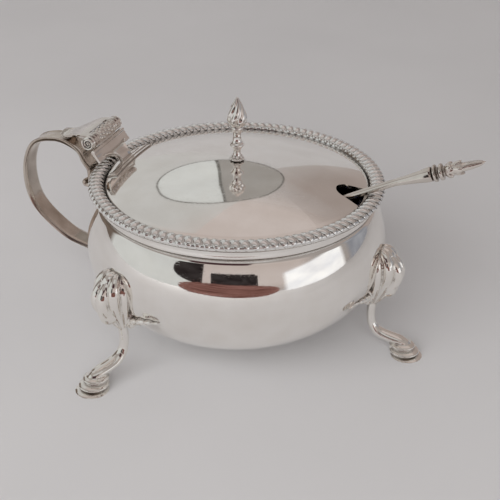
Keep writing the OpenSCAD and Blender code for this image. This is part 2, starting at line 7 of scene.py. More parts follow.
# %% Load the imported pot
import json
from math import atan2, cos, degrees, pi, radians, sin, sqrt

import bpy
from mathutils import Euler, Matrix, Vector


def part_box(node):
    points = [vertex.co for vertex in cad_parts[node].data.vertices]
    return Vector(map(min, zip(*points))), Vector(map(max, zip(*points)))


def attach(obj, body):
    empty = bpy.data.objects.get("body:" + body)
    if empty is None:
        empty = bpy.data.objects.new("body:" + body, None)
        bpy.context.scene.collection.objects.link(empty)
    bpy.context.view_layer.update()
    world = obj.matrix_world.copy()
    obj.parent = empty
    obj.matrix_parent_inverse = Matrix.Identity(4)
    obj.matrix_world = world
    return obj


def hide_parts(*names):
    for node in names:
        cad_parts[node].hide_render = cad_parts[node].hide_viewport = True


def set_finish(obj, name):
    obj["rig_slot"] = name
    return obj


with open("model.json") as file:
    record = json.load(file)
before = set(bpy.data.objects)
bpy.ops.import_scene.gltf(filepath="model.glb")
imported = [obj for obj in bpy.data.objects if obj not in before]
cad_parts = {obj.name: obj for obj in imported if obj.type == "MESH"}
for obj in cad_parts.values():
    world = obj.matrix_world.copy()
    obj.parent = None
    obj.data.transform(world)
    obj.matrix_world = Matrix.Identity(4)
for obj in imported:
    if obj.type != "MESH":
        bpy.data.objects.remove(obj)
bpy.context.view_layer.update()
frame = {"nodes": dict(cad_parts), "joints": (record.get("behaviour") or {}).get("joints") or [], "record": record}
print("packed nodes:", len(frame["nodes"]))

# %% [markdown]
# ## Sizes
# All sizes below are in millimetres, because that is how a silversmith would say them. The main ones
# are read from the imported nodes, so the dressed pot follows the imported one. The others are places and
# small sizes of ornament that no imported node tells.

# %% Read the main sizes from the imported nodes
MM = 0.001


def node_box(node):
    """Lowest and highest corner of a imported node, in millimetres."""
    low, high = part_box(node)
    return low / MM, high / MM


SHEET = 0.8
BOWL_LOW, BOWL_HIGH = node_box("body_shell")
NECK_LOW, NECK_HIGH = node_box("neck_band")
BORDER_LOW, BORDER_HIGH = node_box("gadroon_border")
LID_LOW, LID_HIGH = node_box("lid_plate")
LINER_LOW, LINER_HIGH = node_box("glass_liner")
BELLY_R = BOWL_HIGH.x
NECK_R = NECK_HIGH.x
LID_R = -LID_LOW.x
RIM_Z = LID_LOW.z + SHEET
lid_hinge = next(joint for joint in frame["joints"] if joint["name"] == "lid_hinge")
HINGE_X = lid_hinge["pos_m"][0] / MM
HINGE_Z = lid_hinge["pos_m"][2] / MM
print("belly radius", round(BELLY_R, 2), "lid radius", round(LID_R, 2), "hinge at", HINGE_X, HINGE_Z)

# %% [markdown]
# ## Modelling by hand
# A few helpers keep the hand work short. They add a primitive at its place, shape it in edit mode with
# the ordinary operators, and leave each object's own origin at the frame's. Everything is deselected
# first, because an operator acts on all that is selected.


# %% Helpers that start and select a mesh
def point(x, y, z):
    return Vector((x, y, z)) * MM


def object_mode():
    if bpy.context.object and bpy.context.object.mode != "OBJECT":
        bpy.ops.object.mode_set(mode="OBJECT")


def only(piece):
    """Leaves edit mode with this piece as the only selected one."""
    object_mode()
    bpy.ops.object.select_all(action="DESELECT")
    piece.select_set(True)
    bpy.context.view_layer.objects.active = piece


def start(name, primitive, **settings):
    """Adds one primitive with nothing else selected, names it and applies its place."""
    object_mode()
    bpy.ops.object.select_all(action="DESELECT")
    getattr(bpy.ops.mesh, f"primitive_{primitive}_add")(**settings)
    piece = bpy.context.object
    piece.name = name
    bpy.ops.object.transform_apply()
    return piece


def edit(piece, chosen=None):
    """Enters edit mode with all vertices selected, or only those whose numbers are given."""
    only(piece)
    if chosen is not None:
        for vertex in piece.data.vertices:
            vertex.select = vertex.index in chosen
        for edge in piece.data.edges:
            edge.select = edge.vertices[0] in chosen and edge.vertices[1] in chosen
        for face in piece.data.polygons:
            face.select = all(number in chosen for number in face.vertices)
    bpy.ops.object.mode_set(mode="EDIT")
    bpy.ops.mesh.select_mode(type="VERT")
    if chosen is None:
        bpy.ops.mesh.select_all(action="SELECT")


def shaped(piece, operator, **settings):
    """Runs one edit mode step on the whole mesh."""
    edit(piece)
    operator(**settings)
    object_mode()
    return piece


def numbers(piece, passes):
    """Numbers of the vertices whose place, in millimetres, passes."""
    return {vertex.index for vertex in piece.data.vertices if passes(vertex.co / MM)}


# %% Helpers that change a mesh
MERGE = 0.0005
ON_PLANE = 1e-7


def tidy(piece):
    """Merges doubles and turns every face outwards."""
    edit(piece)
    bpy.ops.mesh.remove_doubles(threshold=MERGE * MM)
    bpy.ops.mesh.normals_make_consistent()
    object_mode()
    return piece


def modify(piece, kind, **settings):
    """Adds one modifier, sets it and applies it."""
    only(piece)
    modifier = piece.modifiers.new(kind.lower(), kind)
    for setting, value in settings.items():
        setattr(modifier, setting, value)
    bpy.ops.object.modifier_apply(modifier=modifier.name)
    return piece


def round_off(piece, levels=1):
    return modify(piece, "SUBSURF", levels=levels)


def soften_edges(piece, width, segments=2, angle=40):
    return modify(
        piece, "BEVEL", width=width * MM, segments=segments,
        limit_method="ANGLE", angle_limit=radians(angle),
    )


def cut_away(piece, cutter):
    """Cuts one mesh out of another and removes the cutter."""
    modify(piece, "BOOLEAN", operation="DIFFERENCE", object=cutter)
    only(cutter)
    bpy.ops.object.delete()
    tidy(piece)


def slice_off(piece, place, direction, fill=True):
    """Cuts a mesh flat and drops what lies beyond the plane."""
    return shaped(
        piece, bpy.ops.mesh.bisect, plane_co=point(*place), plane_no=direction,
        use_fill=fill, clear_outer=True, threshold=ON_PLANE,
    )


def join(name, pieces):
    only(pieces[0])
    for piece in pieces:
        piece.select_set(True)
    bpy.ops.object.join()
    bpy.context.object.name = name
    return bpy.context.object


def melt(piece, grain, smoothing):
    """Runs joined shapes into one skin, as a casting does, and smooths the skin."""
    modify(piece, "REMESH", mode="VOXEL", voxel_size=grain * MM)
    return modify(piece, "SMOOTH", factor=0.5, iterations=smoothing)


# %% Helpers that move and copy a mesh
def pull(move):
    """Extrudes what is selected by a vector."""
    bpy.ops.mesh.extrude_region_move(TRANSFORM_OT_translate={"value": move})


def resize(factors, centre=(0, 0, 0)):
    bpy.ops.transform.resize(value=factors, center_override=centre)


def rotate(axis, value, centre):
    """Turns what is selected. The operator's angles run against the right-hand rule."""
    bpy.ops.transform.rotate(value=value, orient_axis=axis, center_override=centre)


def turn(piece, axis, angle, about=(0, 0, 0)):
    """Turns a mesh about a line through a point, in degrees and by the right-hand rule."""
    return shaped(piece, rotate, axis=axis, value=-radians(angle), centre=point(*about))


def shift(piece, x, y, z):
    return shaped(piece, bpy.ops.transform.translate, value=point(x, y, z))


def stretch(piece, x, y, z):
    return shaped(piece, resize, factors=(x, y, z))


def copy_of(piece, name):
    only(piece)
    bpy.ops.object.duplicate()
    bpy.context.object.name = name
    return bpy.context.object


# %% [markdown]
# ### Ways to draw a form
# Most of a silver pot is turned, wrought or rolled. A turned form is a profile that is spun round an
# axis. A wrought bar is a ring that is extruded from station to station and squeezed on the way. A
# strap is a line that is extruded sideways into a ribbon, and given its thickness afterwards.


# %% Helpers that draw a line, spin it and set copies round
def draw_line(name, places):
    """A chain of edges through places in millimetres, drawn by extruding one vertex."""
    piece = start(name, "plane", size=MM, location=point(*places[0]))
    edit(piece)
    bpy.ops.mesh.merge(type="CENTER")
    for here, there in zip(places, places[1:]):
        pull(point(*there) - point(*here))
    object_mode()
    return piece


def turned(name, profile, steps=128):
    """Spins a profile of (radius, height) round the Z axis."""
    piece = draw_line(name, [(radius, 0, height) for radius, height in profile])
    edit(piece)
    bpy.ops.mesh.spin(steps=steps, angle=2 * pi, center=(0, 0, 0), axis=(0, 0, 1))
    return tidy(piece)


def turned_on_hinge(name, profile):
    """A turned form on the axis of the hinge, which runs along Y."""
    return shift(turn(turned(name, profile, steps=48), "X", -90), HINGE_X, 0, HINGE_Z)


def ring_of(piece, count, about=(0, 0, 0), axis=(0, 0, 1)):
    """Sets copies of a mesh evenly round an axis."""
    rest = count - 1
    sweep = 2 * pi * rest / count
    middle = point(*about)
    return shaped(piece, bpy.ops.mesh.spin, steps=rest, dupli=True, angle=sweep, center=middle, axis=axis)


def slab(name, outline, low, high):
    """A flat outline of (x, z), extruded along Y."""
    piece = draw_line(name, [(x, low, z) for x, z in [*outline, outline[0]]])
    tidy(piece)
    edit(piece)
    bpy.ops.mesh.edge_face_add()
    pull(point(0, high - low, 0))
    return tidy(piece)


# %% Helpers that draw out a bar and roll a strap
NEAR = 0.01


def slopes(line):
    """Direction of a line of (x, z) at each of its points, in degrees."""
    angles = []
    for i in range(len(line)):
        here, there = line[max(i - 1, 0)], line[min(i + 1, len(line) - 1)]
        angle = degrees(atan2(there[1] - here[1], there[0] - here[0]))
        if angles:
            angle += 360 * round((angles[-1] - angle) / 360)
        angles.append(angle)
    return angles


def wrought(name, stations, sides=12):
    """Extrudes a ring along the XZ plane. A station is (x, z, half thickness, half width)."""
    line = [station[:2] for station in stations]
    centres = [point(x, 0, z) for x, z in line]
    angles = [radians(angle - 90) for angle in slopes(line)]
    piece = start(name, "circle", vertices=sides, radius=MM, fill_type="NGON", location=centres[0])
    edit(piece)
    resize((*stations[0][2:], 1), centres[0])
    rotate("Y", angles[0], centres[0])
    for i in range(1, len(stations)):
        thicker = stations[i][2] / stations[i - 1][2]
        wider = stations[i][3] / stations[i - 1][3]
        pull(centres[i] - centres[i - 1])
        rotate("Y", -angles[i - 1], centres[i])
        resize((thicker, wider, 1), centres[i])
        rotate("Y", angles[i], centres[i])
    return tidy(piece)


def strap_faces_left(piece, line):
    """Whether a new strap's faces look to the left of its line."""
    root = Vector(line[0])
    left = (Vector(line[1]) - root).orthogonal()
    first = min(piece.data.polygons, key=lambda face: (face.center.xz / MM - root).length)
    return first.normal.xz.dot(left) > 0


def rolled(name, stations, columns, thickness):
    """Extrudes a line into a strap. A station is (x, z, half width), a column (share of it, relief)."""
    line = [station[:2] for station in stations]
    shares = [share for share, relief in columns]
    piece = draw_line(name, [(x, shares[0], z) for x, z in line])
    edit(piece)
    for here, there in zip(shares, shares[1:]):
        pull(point(0, there - here, 0))
    tidy(piece)
    if strap_faces_left(piece, line):
        shaped(piece, bpy.ops.mesh.flip_normals)
    rows = [numbers(piece, lambda co: (co.xz - Vector(place)).length < NEAR) for place in line]
    cells = [numbers(piece, lambda co: abs(co.y - share) < NEAR) for share in shares]
    for station, members in zip(stations, rows):
        edit(piece, members)
        resize((1, station[2], 1))
    for (share, relief), members in zip(columns, cells):
        edit(piece, members)
        bpy.ops.transform.shrink_fatten(value=relief * MM)
    modify(piece, "SOLIDIFY", thickness=thickness * MM, offset=-1)
    return tidy(piece)


# %% Helpers that set out columns and steps, bend a line and finish a piece
def mirrored(half):
    """Columns of a strap from one edge to its middle, and the same again to the other edge."""
    return half + [(-share, relief) for share, relief in half[-2::-1]]


def blob(name, place, sizes, turns=(0, 0, 0)):
    """A stretched ball, to be joined into a casting."""
    return start(
        name, "uv_sphere", segments=20, ring_count=12, radius=MM,
        location=point(*place), scale=sizes, rotation=[radians(angle) for angle in turns],
    )


def evenly(low, high, steps):
    """Values from low to high in even steps."""
    return [low + (high - low) * step / steps for step in range(steps + 1)]


def on_arc(x, z, radius, angle):
    """A place on a circle round (x, z), at an angle in degrees."""
    return x + radius * cos(radians(angle)), z + radius * sin(radians(angle))


def smooth_line(places, steps):
    """A smooth line through given points, with some points added between each two."""
    rows = [Vector(place) for place in places]
    line = []
    for i in range(len(rows) - 1):
        a, b = rows[max(i - 1, 0)], rows[i]
        c, d = rows[i + 1], rows[min(i + 2, len(rows) - 1)]
        for k in range(steps):
            t = k / steps
            bend = (2 * a - 5 * b + 4 * c - d) * t**2 + (3 * b - a - 3 * c + d) * t**3
            line.append(tuple(0.5 * (2 * b + (c - a) * t + bend)))
    line.append(tuple(rows[-1]))
    return line


dressed = []


def finish_piece(piece, body, slot, *nodes, angle=40):
    """Smooths the shading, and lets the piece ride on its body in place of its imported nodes."""
    only(piece)
    bpy.ops.object.shade_smooth_by_angle(angle=radians(angle))
    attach(piece, body)
    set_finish(piece, slot)
    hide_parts(*nodes)
    dressed.append(piece)
    print(piece.name, "faces:", len(piece.data.polygons))


# %% [markdown]
# ## The bowl and its neck
# A real bowl like this is raised with a hammer, or spun over a wooden former, from one round sheet. The
# neck is a strip of sheet that is soldered on top, and the seam shows as a thin dark line. Both are
# forms of revolution, so a profile that runs up the outside and back down the inside is spun once round
# the axis.

# %% Turn the bowl
FINE_TURN = 160
SHOULDER = 12
BELLY_Z = BOWL_HIGH.z - SHOULDER
BELLY_POWER = 2.1
SHOULDER_POWER = 1.8


def round_bottom(radius, top, depth, power, steps):
    """Outline of a rounded bottom, from its lowest point to its full radius."""
    rows = [(0, top - depth)]
    for step in range(1, steps + 1):
        angle = radians(90 * (1 - step / steps))
        rows.append((radius * cos(angle) ** (2 / power), top - depth * sin(angle) ** (2 / power)))
    return rows


def bowl_outline(skin, shoulder_steps=12):
    rows = round_bottom(BELLY_R - skin, BELLY_Z, BELLY_Z - BOWL_LOW.z - skin, BELLY_POWER, steps=32)
    for step in range(1, shoulder_steps + 1):
        share = step / shoulder_steps
        radius = NECK_R - skin + (BELLY_R - NECK_R) * (1 - share**SHOULDER_POWER)
        rows.append((radius, BELLY_Z + (BOWL_HIGH.z - BELLY_Z) * share))
    return rows


def bowl_r(z):
    """Radius of the bowl's outside at a height below the belly."""
    share = min(1, (BELLY_Z - z) / (BELLY_Z - BOWL_LOW.z))
    return BELLY_R * (1 - max(0, share) ** BELLY_POWER) ** (1 / BELLY_POWER)


SEAM = 0.42
bowl_edge = [(NECK_R + SEAM * 0.5, BOWL_HIGH.z - SEAM), (NECK_R - SEAM, BOWL_HIGH.z)]
bowl_rows = bowl_outline(0)[:-1] + bowl_edge + bowl_outline(SHEET)[::-1]
bowl = turned("raised_bowl", bowl_rows, steps=FINE_TURN)
finish_piece(bowl, "pot", "silver", "body_shell")

# %% Turn the neck, a little hollow in the middle
NECK_HOLLOW = 0.14
NECK_WAIST = 1.5
neck_shape = [
    (NECK_R - SEAM, NECK_LOW.z), (NECK_R, NECK_LOW.z + SEAM),
    (NECK_R - NECK_HOLLOW, NECK_LOW.z + NECK_WAIST), (NECK_R - NECK_HOLLOW * 0.6, NECK_HIGH.z),
]
neck_face = smooth_line(neck_shape, steps=5)
neck_back = [(NECK_R - SHEET, NECK_HIGH.z), (NECK_R - SHEET, NECK_LOW.z), neck_face[0]]
neck = turned("neck_collar", neck_face + neck_back, steps=FINE_TURN)
finish_piece(neck, "pot", "silver", "neck_band")

# %% [markdown]
# ## The gadrooned border
# Gadroons are small slanting lobes, side by side like the strands of a rope. A silversmith buys them as
# cast or stamped wire and bends the wire round the rim. Here one lobe is drawn out over the crown of
# the border, turned to its slant, and spun round the pot as copies on a plain ring.

# %% Make the ring under the lobes
LOBES = 106
LOBE_SLANT = 25
BORDER_IN = LID_R + 0.35
BORDER_OUT = BORDER_HIGH.x
BORDER_MID = (BORDER_IN + BORDER_OUT) / 2
CROWN_Z = BORDER_LOW.z + 0.9
CROWN_HALF = 1.7
CROWN_H = 1.05
CROWN_STEPS = 12
ring_profile = [
    (BORDER_IN, BORDER_LOW.z), (BORDER_OUT - 0.75, BORDER_LOW.z), (BORDER_OUT - 0.4, CROWN_Z - 0.35),
]
for angle in evenly(0, pi, CROWN_STEPS):
    ring_profile.append((BORDER_MID + CROWN_HALF * cos(angle), CROWN_Z + CROWN_H * sin(angle)))
ring_profile += [(BORDER_IN, CROWN_Z - 0.2), ring_profile[0]]
border = turned("border_ring", ring_profile, steps=2 * LOBES)
print("border from radius", round(BORDER_IN, 2), "to", round(BORDER_OUT, 2))

# %% Draw one lobe over the crown and spin its copies
LOBE_HALF = 1.78
LOBE_H = 1.08
lobe_stations = []
for angle, thick, wide in (
    (-14, 0.22, 0.45), (12, 0.34, 0.78), (45, 0.4, 0.98), (90, 0.42, 1.0),
    (135, 0.4, 0.92), (168, 0.32, 0.66), (194, 0.2, 0.35),
):
    x = BORDER_MID + LOBE_HALF * cos(radians(angle))
    z = CROWN_Z + LOBE_H * sin(radians(angle))
    lobe_stations.append((x, z, thick, wide))
lobe = wrought("gadroon", lobe_stations, sides=8)
turn(lobe, "Z", LOBE_SLANT, about=(BORDER_MID, 0, 0))
border = join("gadroon_rim", [border, ring_of(lobe, LOBES)])
finish_piece(border, "pot", "silver", "gadroon_border", angle=70)

# %% [markdown]
# ## The glass liner
# Mustard eats silver, so it sits in a cobalt glass cup that hangs by its lip on a ring inside the neck.
# Glass needs both its skins for light to pass through rightly, so the profile again goes up one side
# and down the other.

# %% Turn the liner
LIP_OUT = 1.2
LIP_THICK = 1
LINER_R = LINER_HIGH.x - LIP_OUT
LINER_WALL = 2.2
LINER_ROUND = 15
LINER_POWER = 2.4
LIP_LOW = LINER_HIGH.z - LIP_THICK
liner_turn = LINER_LOW.z + LINER_ROUND
outside = round_bottom(LINER_R, liner_turn, LINER_ROUND, LINER_POWER, steps=24)
inside = round_bottom(LINER_R - LINER_WALL, liner_turn, LINER_ROUND - LINER_WALL, LINER_POWER, steps=24)
lip = [
    (LINER_R, LIP_LOW),
    (LINER_HIGH.x - 0.15, LIP_LOW),
    (LINER_HIGH.x, LIP_LOW + 0.2),
    (LINER_HIGH.x, LINER_HIGH.z - 0.3),
    (LINER_HIGH.x - 0.3, LINER_HIGH.z),
    (LINER_R - LINER_WALL + 0.4, LINER_HIGH.z),
    (LINER_R - LINER_WALL, LINER_HIGH.z - 0.4),
]
liner = turned("glass_cup", outside + lip + inside[::-1])
finish_piece(liner, "pot", "cobalt_glass", "glass_liner")

# %% [markdown]
# ## The lid
# The lid is a disc of sheet that was hammered into a low dome. Its edge has a notch for the spoon,
# filed out after the dome was made. The dome is turned, and the notch is cut with a Boolean from an
# outline with a round inner end and a mouth that opens outwards.

# %% Turn the dome
STUD_R = 1.1
STUD_DROP = 0.006
DOME_H = LID_HIGH.z - RIM_Z + STUD_DROP
DOME_STEPS = 26
DOME_END = LID_R - 0.25


def dome_z(radius):
    return RIM_Z + DOME_H * (1 - (radius / LID_R) ** 2)


dome_radii = evenly(STUD_R, DOME_END, DOME_STEPS)
dome_top = [(radius, dome_z(radius)) for radius in dome_radii]
dome_edge = [
    (LID_R - 0.06, RIM_Z - 0.06), (LID_R, RIM_Z - 0.22), (LID_R, RIM_Z - 0.6), (LID_R - 0.15, RIM_Z - SHEET),
]
dome_under = [(radius, dome_z(radius) - SHEET) for radius in dome_radii[::-1]]
lid = turned("lid_dome", dome_top + dome_edge + dome_under + dome_top[:1], steps=FINE_TURN)
print("height of the dome", round(DOME_H, 2))

# %% Cut the spoon notch
NOTCH_R = 3.2
NOTCH_DEEP = 7.2
NOTCH_END = LID_R - NOTCH_DEEP + NOTCH_R
CUTTER_LOW, CUTTER_HIGH = 30, 60
mouth = [(LID_R + 0.8, 6.2), (LID_R - 0.7, 4.7)]
notch_outline = [(x, -y) for x, y in mouth]
notch_outline += [on_arc(NOTCH_END, 0, NOTCH_R, angle) for angle in range(260, 90, -10)]
notch_outline += mouth[::-1]
notch = turn(slab("notch_cutter", notch_outline, -CUTTER_HIGH, -CUTTER_LOW), "X", -90)
cut_away(lid, notch)
finish_piece(lid, "lid", "silver", "lid_plate", angle=50)

# %% [markdown]
# ## The finial
# The finial is cast in one piece with its stud: a foot of petals, a turned stem with a ring, and a bud
# with twisted flutes. The stem is spun. The bud starts as a ring whose every fourth point is drawn in,
# and each extrusion is turned a little further than the last.

# %% Turn the stem and its stud
FINIAL_LOW, FINIAL_HIGH = node_box("finial")
STUD = 1.0
CHAMFER = 0.15
STEM_LIFT = 0.05
top_of_lid = LID_HIGH.z
stem_shape = [
    (1.55, STEM_LIFT), (1.7, 0.4), (1.2, 1.0), (0.92, 1.9), (0.92, 2.8), (1.25, 3.4), (1.72, 4.0),
    (1.75, 4.4), (1.2, 5.1), (1.02, 6.4), (1.1, 7.6), (1.5, 8.3), (1.5, 8.9), (1.1, 9.4),
]
stem_rows = smooth_line([(radius, top_of_lid + up) for radius, up in stem_shape], steps=3)
stud_rows = [
    (0, FINIAL_LOW.z), (STUD - CHAMFER, FINIAL_LOW.z), (STUD, FINIAL_LOW.z + CHAMFER),
    (STUD, top_of_lid + STEM_LIFT),
]
stem = turned("finial_stem", stud_rows + stem_rows + [(0, stem_rows[-1][1])], steps=40)
print("stem faces:", len(stem.data.polygons))

# %% Set petals round the foot
PETALS = 8
SEPALS = 6
petal = blob("petal", (1.3, 0, top_of_lid + 0.5), (0.64, 0.5, 0.36), turns=(0, 14, 0))
bract = blob("bract", (1.1, 0, top_of_lid + 1.05), (0.4, 0.4, 0.5), turns=(0, -30, 0))
turn(bract, "Z", 180 / PETALS)
sepal = blob("sepal", (1.35, 0, top_of_lid + 4.3), (0.55, 0.42, 0.3), turns=(0, -24, 0))
petals = [ring_of(petal, PETALS), ring_of(bract, PETALS), ring_of(sepal, SEPALS)]
print("petals and sepals:", 2 * PETALS + SEPALS)

# %% Draw the twisted bud
FLUTES = 6
FLUTE_IN = 0.72
FLUTE_POINTS = 4
BUD_POINTS = FLUTES * FLUTE_POINTS
BUD_TWIST = 95
BUD_LOW = top_of_lid + 8.7
bud_place = point(0, 0, BUD_LOW)
bud = start("bud", "circle", vertices=BUD_POINTS, radius=MM, fill_type="NGON", location=bud_place)
edit(bud, set(range(0, BUD_POINTS, FLUTE_POINTS)))
resize((FLUTE_IN, FLUTE_IN, 1), bud_place)
edit(bud)
bud_rows = [
    (0, 1.2), (0.06, 1.75), (0.16, 2.35), (0.27, 2.6), (0.4, 2.55),
    (0.55, 2.15), (0.7, 1.6), (0.84, 0.98), (0.94, 0.5), (1, 0.16),
]
bud_rise = FINIAL_HIGH.z - BUD_LOW
resize((bud_rows[0][1], bud_rows[0][1], 1), bud_place)
for before, now in zip(bud_rows, bud_rows[1:]):
    step_up = now[0] - before[0]
    wider = now[1] / before[1]
    centre = point(0, 0, BUD_LOW + bud_rise * now[0])
    pull(point(0, 0, bud_rise * step_up))
    resize((wider, wider, 1), centre)
    rotate("Z", radians(-BUD_TWIST * step_up), centre)
object_mode()
round_off(tidy(bud))
finial = join("bud_finial", [stem, bud, *petals])
finish_piece(finial, "lid", "silver_cast", "finial", angle=60)

# %% [markdown]
# ## The hinge on the lid
# The lid's half of the hinge has a middle knuckle that is chased with leaves, a moulded apron in front
# of it, and a tongue that bends over the border down to a stepped plate. The knuckle and its leaves
# were cast as one, so they are joined and melted into a single skin.

# %% Chase the middle knuckle
KNUCKLE = 4.6
BARREL_R = 1.75
rings = [(0, -KNUCKLE), (1.6, -KNUCKLE), (BARREL_R, -4.45), (BARREL_R, -4.0), (1.4, -3.75)]
knuckle_rows = rings + [(radius, -along) for radius, along in rings[::-1]]
knuckle = turned_on_hinge("knuckle", knuckle_rows)
BARREL_MIDDLE = (HINGE_X, 0, HINGE_Z)
LEAVES_ROUND = 7
LEAF_STEP = 1.45
LEAF_TILT = 38
leaves = []
for column in range(5):
    odd = column % 2
    place = (HINGE_X + 1.42, LEAF_STEP * (column - 2), HINGE_Z)
    leaf = blob("leaf", place, (0.42, 0.74, 0.58), turns=(LEAF_TILT * (1 - 2 * odd), 0, 0))
    turn(leaf, "Y", 180 / LEAVES_ROUND * odd, about=BARREL_MIDDLE)
    leaves.append(ring_of(leaf, LEAVES_ROUND, about=BARREL_MIDDLE, axis=(0, 1, 0)))
knuckle = melt(join("chased_knuckle", [knuckle, *leaves]), grain=0.12, smoothing=2)
print("leaves on the knuckle:", LEAVES_ROUND * len(leaves))

# %% Draw the moulded apron and the web behind it
APRON_HALF = 8.6
apron_outline = [
    (-36.3, 49.45), (-35.75, 49.95), (-35.2, 49.8), (-34.95, 49.5), (-35.1, 49.2),
    (-34.85, 48.9), (-34.5, 48.3), (-34.15, 47.75), (-33.7, 47.25), (-33.55, 47.0), (-33.8, 46.7),
    (-34.3, 46.6), (-36.2, 49.0),
]
apron = soften_edges(slab("apron", apron_outline, -APRON_HALF, APRON_HALF), 0.16, segments=3, angle=20)
web_outline = [(-37.66, 50.05), (-35.9, 50.6), (-35.4, 49.35), (-36.18, 48.95)]
web = slab("web", web_outline, -KNUCKLE, KNUCKLE)
print("width of the apron:", 2 * APRON_HALF)

# %% Bend the tongue over the border
tongue_rows = [
    (-30.7, 45.35, 2.9), (-31.2, 46.3, 2.8), (-32.0, 47.1, 3.2), (-33.0, 47.6, 4.4), (-33.9, 47.6, 6.6),
    (-34.5, 47.0, 8.3),
]
tongue_columns = mirrored([(-1, 0.1), (-0.92, 0.42), (-0.8, 0.0), (0, 0.05)])
tongue = rolled("tongue", smooth_line(tongue_rows, steps=4), tongue_columns, thickness=0.8)
round_off(tongue)
strap = join("lid_hinge", [knuckle, apron, web, tongue])
finish_piece(strap, "lid", "silver_cast", "lid_hinge_strap")

# %% [markdown]
# The plate lies on the dome and follows its curve. It is a piece of a turned ring with stepped
# mouldings, cut straight on its inner side and at its ends.

# %% Cut the stepped plate out of a turned ring
PLATE_HIGH = node_box("lid_hinge_plate")[1]
PLATE_DEEP = 5.4
PLATE_STEPS = 6


def plate_layer(name, outer, inner_x, half_width, low, high):
    """A layer of the plate: part of a ring on the dome, cut flat on three sides."""
    radii = evenly(LID_R - PLATE_DEEP, outer, PLATE_STEPS)
    rows = [(radius, dome_z(radius) + low) for radius in radii]
    rows += [(radius, dome_z(radius) + high) for radius in radii[::-1]]
    layer = turned(name, rows + rows[:1], steps=180)
    slice_off(layer, (inner_x, 0, 0), (1, 0, 0))
    slice_off(layer, (0, half_width, 0), (0, 1, 0))
    return tidy(slice_off(layer, (0, -half_width, 0), (0, -1, 0)))


plate_half = PLATE_HIGH.y
layers = [
    plate_layer("step_low", LID_R - 0.4, PLATE_HIGH.x, plate_half, 0.03, 0.4),
    plate_layer("step_top", LID_R - 0.7, PLATE_HIGH.x - 1.0, plate_half - 0.9, 0.2, 0.65),
    plate_layer("step_rib", LID_R - 1.9, PLATE_HIGH.x - 1.9, plate_half - 2.0, 0.5, 0.8),
]
plate = soften_edges(join("stepped_plate", layers), 0.14, segments=3)
finish_piece(plate, "lid", "silver", "lid_hinge_plate")

# %% [markdown]
# ## The hinge on the handle
# The leaf rises from the handle to the barrel, broad at the hinge and narrow at its curled tip. It is
# rolled like a strap, hollowed where the lid's knuckle turns, and carries the two outer knuckles. A
# volute closes each end of the barrel: a spiral bar on a small disc.

# %% Roll the leaf and hollow it
leaf_rows = [
    (-36.9, 53.05, 7.4), (-39.0, 53.05, 7.3), (-41.0, 52.65, 6.7), (-43.4, 51.65, 4.6),
    (-45.3, 50.75, 3.7), (-46.6, 50.35, 3.2), (-47.7, 50.5, 2.5), (-48.4, 50.8, 1.2),
]
leaf_columns = mirrored([(-1, -0.25), (-0.9, 0.05), (-0.78, -0.1), (-0.4, 0.05), (0, 0.1)])
hinge_leaf = rolled("leaf", smooth_line(leaf_rows, steps=3), leaf_columns, thickness=0.95)
round_off(hinge_leaf)
ROOM = 4.72
ROOM_R = 2.1
room = turned_on_hinge("room", [(0, -ROOM), (ROOM_R, -ROOM), (ROOM_R, ROOM), (0, ROOM)])
cut_away(hinge_leaf, room)
print("leaf faces:", len(hinge_leaf.data.polygons))

# %% Turn the outer knuckles
knuckle_profile = [
    (0, ROOM), (1.6, ROOM), (BARREL_R, 4.87), (BARREL_R, 5.3), (1.55, 5.45), (1.55, 5.6),
    (BARREL_R, 5.75), (BARREL_R, 6.6), (1.55, 6.75), (1.55, 6.9), (BARREL_R, 7.05), (BARREL_R, 7.3),
    (1.6, 7.4), (0, 7.4),
]
far_profile = [(radius, -y) for radius, y in knuckle_profile[::-1]]
knuckles = [turned_on_hinge("outer_knuckle", profile) for profile in (knuckle_profile, far_profile)]
hinge_leaf = join("wrought_leaf", [hinge_leaf, *knuckles])
finish_piece(hinge_leaf, "pot", "silver_cast", "hinge_leaf")

# %% Wind the volutes
VOLUTE_STEPS = 33
VOLUTE_CLOSED = 42
VOLUTE_START = 150
VOLUTE_TURN = 22
VOLUTE_R = 1.62
VOLUTE_HALF = 0.42
VOLUTE_Y = 8.18
spiral = []
for step in range(VOLUTE_STEPS + 1):
    radius = VOLUTE_R * (1 - step / VOLUTE_CLOSED)
    angle = VOLUTE_START + VOLUTE_TURN * step
    wire = 0.3 - 0.12 * step / VOLUTE_STEPS
    spiral.append((*on_arc(HINGE_X, HINGE_Z, radius, angle), wire, VOLUTE_HALF))
volute = shift(wrought("volute", spiral, sides=10), 0, VOLUTE_Y, 0)
disc_rows = [
    (0, 7.42), (1.6, 7.42), (1.78, 7.55), (1.78, 7.75), (1.6, 7.9), (0.5, 7.9), (0.4, 8.3), (0.2, 8.5),
    (0, 8.55),
]
disc = turned_on_hinge("disc", disc_rows)
near_end = join("volute_end", [volute, disc])
far_end = tidy(stretch(copy_of(near_end, "volute_end_far"), 1, -1, 1))
volutes = join("hinge_volutes", [near_end, far_end])
finish_piece(volutes, "pot", "silver_cast", "hinge_scrolls", angle=60)

# %% [markdown]
# ## The handle
# The handle is one strap. It starts as a small curl under the rim, rises past the border, spreads under
# the hinge, and swings round in a wide loop back to the bowl. A raised reed runs along both edges. The
# line of its outer face is extruded sideways in columns, each row is widened as the strap spreads, and
# the columns between the reeds are sunk.

